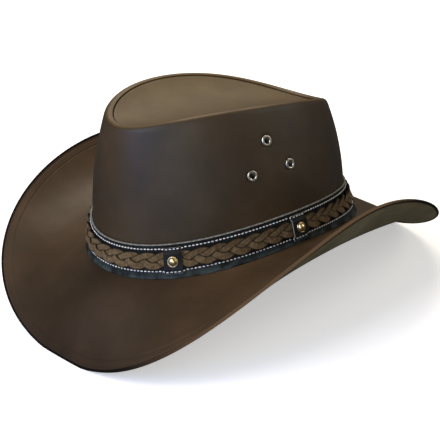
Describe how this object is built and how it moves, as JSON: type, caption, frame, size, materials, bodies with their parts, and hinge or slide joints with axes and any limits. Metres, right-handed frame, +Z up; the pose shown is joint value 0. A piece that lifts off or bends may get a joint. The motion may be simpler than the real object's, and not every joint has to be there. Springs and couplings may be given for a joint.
{
  "type": "bush hat",
  "caption": "Leather bush hat with a dished crown, vented sides, a wide curled brim and a riveted braided band.",
  "frame": {"origin": "on the surface the hat rests on, under the middle of the brim", "axes": "+Z up, -Y towards the front of the hat, +X towards the wearer's left"},
  "size_m": [0.2974, 0.3254, 0.1603],
  "materials": {
    "brim_leather": "oiled, soft sheen",
    "crown_leather": "oiled, soft sheen",
    "tip_leather": "oiled, soft sheen",
    "strap_leather": "smooth, satin",
    "braid_lace": "matt suede",
    "rivet_metal": "polished",
    "eyelet_metal": "aged"
  },
  "bodies": {
    "root": {"brim": "brim_leather", "crown_side": "crown_leather", "crown_tip": "tip_leather", "band_strap": "strap_leather", "braid": "braid_lace", "keeper_1": "strap_leather", "keeper_2": "strap_leather", "keeper_3": "strap_leather", "keeper_4": "strap_leather", "rivet_1": "rivet_metal", "rivet_2": "rivet_metal", "rivet_3": "rivet_metal", "rivet_4": "rivet_metal", "eyelet_left_1": "eyelet_metal", "eyelet_left_2": "eyelet_metal", "eyelet_left_3": "eyelet_metal", "eyelet_right_1": "eyelet_metal", "eyelet_right_2": "eyelet_metal", "eyelet_right_3": "eyelet_metal"}
  },
  "joints": []
}
